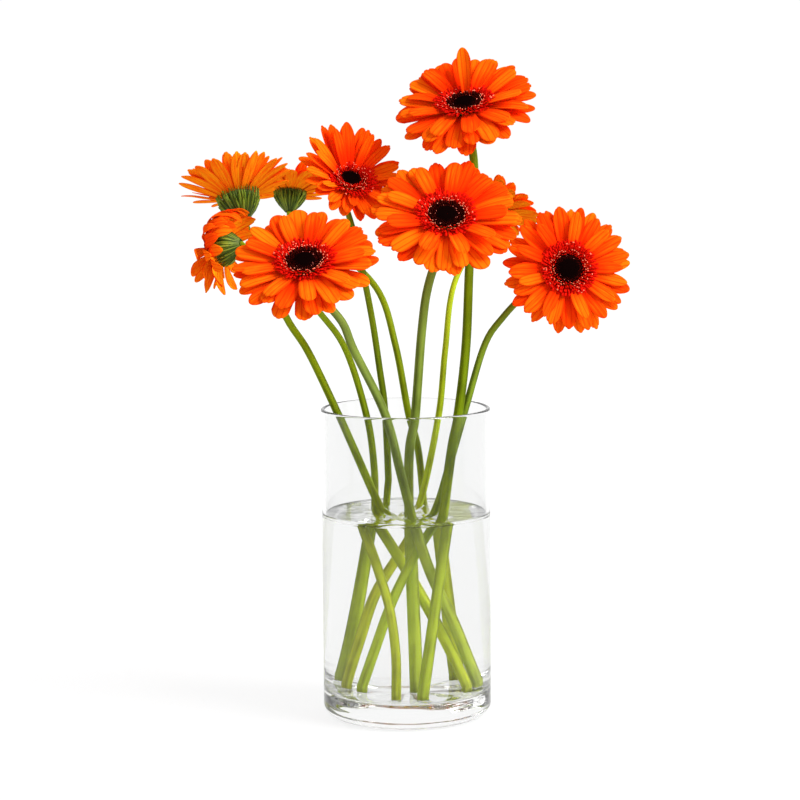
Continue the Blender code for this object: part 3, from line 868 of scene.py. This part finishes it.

# Floret colours: root, darker as painted shade in the gaps between florets, body and tip, and how
# far along the pale tip starts
DARK_FLORET_LOOK = ((0.01, 0.001, 0.001, 1), (0.04, 0.002, 0.001, 1), (0.95, 0.28, 0.17, 1), 0.80)
RED_FLORET_LOOK = ((0.15, 0.001, 0.001, 1), (0.62, 0.005, 0.001, 1), (0.95, 0.22, 0.12, 1), 0.82)
FLORET_ROOT_SHADE_ENDS = (0.0, 0.55)
FLORET_TIP_FADE = 0.12
FLORET_TIP_TINTS = (0.7, 0.9)

# Where each finish stands in a bloom's list of materials
PETAL, DARK_FLORET, RED_FLORET, UNDERSIDE = range(4)


def tilt_at(flower, turn):
    """How far the petals rise at this angle round the bloom; 90 degrees is its upper side."""
    direction, more = flower["nod"]
    return flower["lift"] + more * math.cos(math.radians(turn - direction))


def towards(direction, turn):
    """1 at one angle round the bloom, falling to 0 on the far side; both in degrees."""
    return (1 + math.cos(math.radians(turn - direction))) / 2


def middle_line(length, lift, droop, curl):
    """Heights and distances of a petal's middle from root to tip, with its slope there.
    The slope falls evenly by droop, and by curl in the last third."""
    step = length / LINE_STEPS
    spots = [(0.0, 0.0, math.radians(lift))]
    for i in range(LINE_STEPS):
        s = (i + 0.5) / LINE_STEPS
        slope = math.radians(lift - droop * s - curl * max(0.0, s - CURL_FROM) / CURL_RUN)
        x, z, _ = spots[-1]
        spots.append((x + step * math.cos(slope), z + step * math.sin(slope), slope))
    return spots


def ray(blank, length, width, lift, droop, curl, cupping, twist, sweep, notch, tip, tint_value):
    """Cut one ray floret from the blank slab and bend it along its middle line. It has two
    creases, a third of the way to each side, which end in the notches of its tip."""
    shape = bmesh.new()
    shape.from_mesh(blank)
    tint = shape.verts.layers.float["tint"]
    spots = middle_line(length, lift, droop, curl)
    for vert in shape.verts:
        u, t, down = vert.co.x, vert.co.y, -vert.co.z
        off_crease = abs(abs(t) - CREASE_AT)
        s = 1 - (1 - u) ** TIP_CROWDING
        tooth = notch * max(0.0, 1 - off_crease * NOTCH_NARROWS)
        s = s * (1 - tip * (1 - math.sqrt(1 - TIP_FULLNESS * t * t)) - tooth * s)
        spot = s * (len(spots) - 1)
        low = min(int(spot), len(spots) - 2)
        x, z, slope = (a + (b - a) * (spot - low) for a, b in zip(spots[low], spots[low + 1]))
        side = t * width / 2 * between(PETAL_OUTLINE, s)
        crease = CREASE_DEPTH * max(0.0, 1 - off_crease * CREASE_NARROWS)
        crease *= math.sin(math.pi * min(1, s * CREASE_RUN))
        run = min(1.0, CUPPED_ROOT + s * (1 - CUPPED_ROOT)) / CUPPING_RUN
        rise = cupping * t ** 2 * width / 2 * math.sin(math.pi * run)
        rise -= crease + down * PETAL_THICK
        lean = math.radians(twist) * s
        across = side * math.cos(lean) - rise * math.sin(lean) + sweep * MM * s * s
        up = side * math.sin(lean) + rise * math.cos(lean)
        vert.co = (x - up * math.sin(slope), across, z + up * math.cos(slope))
        vert[tint] = tint_value
    return shape


def set_round(bloom, floret, turn, radius, height, finish):
    """Move a floret out to its root, turn it to its place round the eye and join it on."""
    place = Matrix.Rotation(math.radians(turn), 4, "Z") @ Matrix.Translation((radius, 0, height))
    bmesh.ops.transform(floret, matrix=place, verts=floret.verts)
    for face in floret.faces:
        face.material_index = finish
    join(bloom, floret)


def receptacle():
    """The flat drum that a bloom's florets grow on, green below."""
    drum = bmesh.new()
    tint = drum.verts.layers.float.new("tint")
    bmesh.ops.create_cone(drum, cap_ends=True, segments=DRUM_SIDES, radius1=DRUM_RADIUS,
                          radius2=DRUM_RADIUS, depth=DRUM_HIGH - DRUM_LOW)
    bmesh.ops.translate(drum, verts=drum.verts, vec=(0, 0, (DRUM_HIGH + DRUM_LOW) / 2))
    for vert in drum.verts:
        vert[tint] = DRUM_TINT
    for face in drum.faces:
        face.material_index = UNDERSIDE if face.normal.z < 0.5 else DARK_FLORET
    return drum


def add_petals(bloom, flower, pick):
    """The layers of ray florets, each petal a little unlike the next."""
    narrow, pointed, trim = flower.get("slim", (1.0, 0.0, 1.0))
    reach = flower["span"] * MM / flower["size"] * trim - ROOT_RADIUS
    short_side, short = flower["short"]
    fan_side, fan_lift, fan_cut, *fans = flower.get("fan", (0, 0, 0, 0, 0, 0))
    roll_side, roll = flower.get("roll", (0, 0))
    for layer, (height, more_lift, longer, wider) in enumerate(LAYERS):
        if layer == INNER_LAYER and "inner" in flower:
            more_lift, longer, _ = flower["inner"]
        count = flower["petals"][layer]
        for i in range(count):
            turn = 360 * (i + 0.5 * layer) / count + pick.uniform(-TURN_SPREAD, TURN_SPREAD)
            fanned = towards(fan_side, turn)
            length = reach * (1 - short * towards(short_side, turn)) * longer
            length *= pick.uniform(*LENGTH_SHARES)
            length *= 1 - fan_cut * fanned
            lift = tilt_at(flower, turn) + more_lift + fan_lift * fanned
            lift += pick.uniform(-LIFT_SPREAD, LIFT_SPREAD)
            width = PETAL_WIDTH * wider * narrow * pick.uniform(*WIDTH_SHARES)
            droop = flower["droop"] + roll * towards(roll_side, turn) - fans[layer] * fanned
            petal = ray(PETAL_BLANK, length, width, lift,
                        droop=droop + pick.uniform(-DROOP_SPREAD, DROOP_SPREAD),
                        curl=pick.uniform(*CURLS), cupping=pick.uniform(*CUPPINGS),
                        twist=pick.uniform(-TWIST_SPREAD, TWIST_SPREAD),
                        sweep=pick.uniform(-SWEEP_SPREAD, SWEEP_SPREAD),
                        notch=NOTCH * pick.choice(NOTCH_DEPTHS),
                        tip=pointed + pick.uniform(*TIP_ROUND), tint_value=pick.random())
            set_round(bloom, petal, turn, ROOT_RADIUS, height * MM, PETAL)
    if "stray" in flower:
        turn, lift, share = flower["stray"]
        petal = ray(PETAL_BLANK, reach * share, PETAL_WIDTH * STRAY_WIDTH, lift,
                    tip=TIP_ROUND[1], **STRAY_FORM)
        set_round(bloom, petal, turn, ROOT_RADIUS, LAYERS[1][0] * MM, PETAL)


def add_florets(bloom, flower, pick):
    """The rings of short florets round the eye."""
    share = flower.get("inner", (0, 0, 1.0))[2]
    lean, dark_rings = flower.get("eye", (0, DARK_RINGS))
    for ring, (root, length, lift, count, width, pale) in enumerate(FLORET_RINGS):
        lift += lean * max(0.0, 1 - ring / LEANING_RINGS)
        for i in range(count):
            turn = 360 * (i + pick.uniform(*FLORET_PLACES)) / count + RING_TURN * root
            length_now = length * share * MM * pick.uniform(*FLORET_LENGTHS)
            floret = ray(FLORET_BLANK, length_now, width * MM,
                         lift + pick.uniform(*FLORET_LIFTS), droop=FLORET_DROOP,
                         curl=pick.uniform(*FLORET_CURLS), cupping=FLORET_CUPPING,
                         twist=pick.uniform(*FLORET_TWISTS), sweep=pick.uniform(*FLORET_SWEEPS),
                         notch=0, tip=FLORET_TIP,
                         tint_value=1.0 if pick.random() < pale else 0.0)
            radius = (root + pick.uniform(*FLORET_PLACES)) * MM
            set_round(bloom, floret, turn, radius, DRUM_HIGH - FLORET_SUNK,
                      DARK_FLORET if ring < dark_rings else RED_FLORET)


def petal_finish():
    """Velvety orange with fine lengthwise veins, and painted shade in deep red along the
    creases and at the rim; the root is redder, partly of itself and partly painted shade;
    the back is yellower, with painted shade in its creases and at its edge."""
    finish = Finish("orange ray florets", Roughness=0.6, Specular_IOR_Level=0.0,
                    Sheen_Weight=0.25, Sheen_Roughness=0.5, Sheen_Tint=ORANGE_DOWN)
    along = finish.read("along")
    across = finish.read("across")
    tint = finish.read("tint")
    spot = {0: across * VEINS_ACROSS, 1: along * VEINS_ALONG, 2: tint * VEINS_BY_TINT}
    vein = finish.noise(finish.node("CombineXYZ", {}, spot), VEIN_SCALE, VEIN_DETAIL)
    coords = finish.node("TexCoord", {}, {}, "Object")
    blotch = finish.noise(coords, BLOTCH_SCALE, BLOTCH_DETAIL)
    light = finish.step(vein * FACE_BY_VEIN + tint * FACE_BY_TINT, *FACE_LIGHT_FROM)
    side = abs(across)
    crease = finish.step(side, *CREASE_FROM) * (1 - finish.step(side, *CREASE_ENDS))
    rim = finish.step(across * across, *RIM_FROM)
    # The redder root is partly the petal's own colour and partly painted shade near the eye
    off_root = along + blotch * ROOT_BY_BLOTCH + tint * ROOT_BY_TINT
    root = 1 - finish.step(off_root, *ROOT_ENDS)
    top = finish.between(light, ORANGE_DEEP, ORANGE_LIGHT)
    # Painted shade in deep red along the two creases and round the rim
    top = finish.between(crease * CREASE_SHARE + rim * RIM_SHARE, top, CREASE_AND_RIM_SHADE)
    top = finish.between(root * ROOT_SHARE, top, ROOT_RED_AND_SHADE)
    edge = across * across + along * along * BACK_EDGE_BY_PLACE
    edge = finish.step(edge, *BACK_EDGE_FROM)
    back = finish.between(finish.step(vein, *BACK_LIGHT_FROM), BACK_DEEP, BACK_LIGHT)
    # Painted shade on the back: red-brown in its creases and at its edge
    back = finish.between(crease * BACK_CREASE_SHARE, back, BACK_CREASE_SHADE)
    back = finish.between(edge * BACK_EDGE_SHARE, back, BACK_EDGE_SHADE)
    under = finish.step(finish.read("under"), *BACK_FROM)
    finish.vary("Base Color", finish.between(under, top, back))
    finish.bump(vein, VEIN_RELIEF, VEIN_DEPTH)
    return finish


def floret_finish(name, root, body, tip, tip_start):
    """Short florets: darker at the root, painted shade in the gaps between them, and some with a
    pale tip.
    """
    finish = Finish(name, Roughness=0.6, Specular_IOR_Level=0.02)
    along = finish.read("along")
    tint = finish.read("tint")
    # Painted shade: each floret darkens towards its root, for the gaps between florets
    colour = finish.between(finish.step(along, *FLORET_ROOT_SHADE_ENDS), root, body)
    pale = finish.step(along, tip_start, tip_start + FLORET_TIP_FADE)
    pale = pale * finish.step(tint, *FLORET_TIP_TINTS)
    finish.vary("Base Color", finish.between(pale, colour, tip))
    return finish


PETAL_BLANK = slab(PETAL_LENGTH_STEPS, PETAL_WIDTH_STEPS)
FLORET_BLANK = slab(FLORET_LENGTH_STEPS, FLORET_WIDTH_STEPS)
rays = petal_finish()
dark_florets = floret_finish("dark florets", *DARK_FLORET_LOOK)
red_florets = floret_finish("red florets", *RED_FLORET_LOOK)
bloom_finishes = [rays, dark_florets, red_florets, bracts]
for flower in FLOWERS:
    pick = random.Random("bloom " + flower["name"])
    bloom = receptacle()
    add_petals(bloom, flower, pick)
    add_florets(bloom, flower, pick)
    bmesh.ops.transform(bloom, matrix=bloom_frame(flower), verts=bloom.verts)
    add_piece("petals_" + flower["name"], bloom, bloom_finishes)


# Eyes. The near-black middle of each bloom is a low dome of more than two hundred disc
# florets, still closed, packed in spirals on the receptacle. A few at its edge have pale tips.
EYE_RADIUS = 9.4 * MM
EYE_HEIGHT = 3.6 * MM
EYE_SIDES = 32
DOME_STEPS = 6
GOLDEN_TURN = math.radians(137.508)
BUD_COUNT = 230
BUD_SIDES = 5
BUD_WIDTH = 0.62 * MM
BUD_TOP_SHARE = 0.35
BUD_HEIGHT = 1.1 * MM
BUD_STANDS_OUT = 0.6 * MM
BUD_SUNK = 0.2 * MM
BUD_IN_FROM_EDGE = 0.4 * MM
BUD_LEAN = math.radians(55)
BUD_LEAST = 0.75
BUD_GROWS = 0.75
BUD_SIZES = (0.85, 1.1)
BUD_TINT_FROM = 0.3
BUD_TINTS = (-0.12, 0.12)
BUD_MOST_TINT = 0.85
PALE_BUDS_FROM = 0.8
PALE_BUD_SHARE = 0.1
EYE_BLACK = (0.003, 0.0008, 0.0008, 1)
EYE_MAROON = (0.07, 0.003, 0.002, 1)
EYE_PALE_TIP = (0.65, 0.16, 0.12, 1)
MAROON_TINTS = (0.35, 0.75)
PALE_TINTS = (0.9, 0.95)


def eye_dome(pick):
    """A low dome with its buds: small near the middle, larger and leaning out at the edge."""
    dome = bmesh.new()
    tint = dome.verts.layers.float.new("tint")
    base = DRUM_HIGH + GAP
    high = EYE_HEIGHT - BUD_STANDS_OUT
    turns = [math.radians(90 * i / DOME_STEPS) for i in range(DOME_STEPS + 1)]
    profile = [(EYE_RADIUS * math.cos(a), base + high * math.sin(a)) for a in turns]
    turned(dome, [(0, base)] + profile[:-1] + [(0, profile[-1][1])], EYE_SIDES)
    for i in range(BUD_COUNT):
        share = math.sqrt((i + 0.5) / BUD_COUNT)
        radius = share * (EYE_RADIUS - BUD_IN_FROM_EDGE)
        height = base + high * math.sqrt(max(0.0, 1 - share * share))
        size = (BUD_LEAST + BUD_GROWS * share ** 3) * pick.uniform(*BUD_SIZES)
        place = (Matrix.Rotation(i * GOLDEN_TURN, 4, "Z")
                 @ Matrix.Translation((radius, 0, height - BUD_SUNK))
                 @ Matrix.Rotation(BUD_LEAN * share ** 2, 4, "Y") @ Matrix.Scale(size, 4))
        bud = bmesh.ops.create_cone(dome, cap_ends=True, segments=BUD_SIDES, radius1=BUD_WIDTH,
                                    radius2=BUD_WIDTH * BUD_TOP_SHARE, depth=BUD_HEIGHT,
                                    matrix=place)["verts"]
        colour = max(0.0, share - BUD_TINT_FROM + pick.uniform(*BUD_TINTS))
        for vert in bud:
            vert[tint] = min(colour, BUD_MOST_TINT)
        if share > PALE_BUDS_FROM and pick.random() < PALE_BUD_SHARE:
            for vert in bud[BUD_SIDES:]:
                vert[tint] = 1.0
    return dome


def eye_finish():
    """Near-black maroon buds and a few paler tips."""
    finish = Finish("dark disc florets", Roughness=0.8, Specular_IOR_Level=0.0)
    tint = finish.read("tint")
    maroon = finish.between(finish.step(tint, *MAROON_TINTS), EYE_BLACK, EYE_MAROON)
    pale = finish.step(tint, *PALE_TINTS)
    finish.vary("Base Color", finish.between(pale, maroon, EYE_PALE_TIP))
    return finish


eye = eye_finish()
for flower in FLOWERS:
    dome = eye_dome(random.Random("eye " + flower["name"]))
    bmesh.ops.transform(dome, matrix=bloom_frame(flower), verts=dome.verts)
    add_piece("disc_" + flower["name"], dome, [eye])


# Studio. A plain white table with a faint glow, under a large soft light from high on the
# right. The air is white behind the flowers and dimmer on the camera's side, so that the
# glass has grey edges and the stems a darker side.
FLOOR_DROP = 0.3 * MM
FLOOR_RADIUS = 6
FLOOR_SIDES = 96
FLOOR_COLOUR = (0.1, 0.1, 0.1, 1)
FLOOR_GLOW = 0.84
WHITE_AIR = 1.02
DIM_AIR = 0.66
AIR_DIM_AT = -0.2
AIR_WHITE_AT = 0.65
LIGHT_FROM = (1.0, -0.45, 0.9)
LIGHT_SPREAD = 35
LIGHT_POWER = 4.8

floor_shape = bmesh.new()
bmesh.ops.create_circle(floor_shape, cap_ends=True, segments=FLOOR_SIDES, radius=FLOOR_RADIUS)
floor_mesh = bpy.data.meshes.new("floor")
bmesh.ops.translate(floor_shape, verts=floor_shape.verts, vec=(0, 0, -FLOOR_DROP))
floor_shape.to_mesh(floor_mesh)
floor_shape.free()
floor = bpy.data.objects.new("floor", floor_mesh)
scene.collection.objects.link(floor)
paper = Finish("white paper", Base_Color=FLOOR_COLOUR, Roughness=0.9,
               Emission_Color=(1, 1, 1, 1), Emission_Strength=FLOOR_GLOW)
floor_mesh.materials.append(paper.material)
world = bpy.data.worlds.new("white air")
world.use_nodes = True
air = Nodes(world.node_tree)
background = air.tree.nodes["Background"]
background.inputs["Color"].default_value = (1, 1, 1, 1)
direction = air.node("TexCoord", {}, {}, "Generated")
behind = air.node("SeparateXYZ", {}, {"Vector": direction}, "Y")
strength = air.step(behind, AIR_DIM_AT, AIR_WHITE_AT) * (WHITE_AIR - DIM_AIR) + DIM_AIR
air.put(strength, background.inputs["Strength"])
scene.world = world
light = bpy.data.lights.new("soft light", "SUN")
light.angle = math.radians(LIGHT_SPREAD)
light.energy = LIGHT_POWER
lamp = bpy.data.objects.new("soft light", light)
scene.collection.objects.link(lamp)
lamp.rotation_euler = (-Vector(LIGHT_FROM)).to_track_quat("-Z", "Y").to_euler()
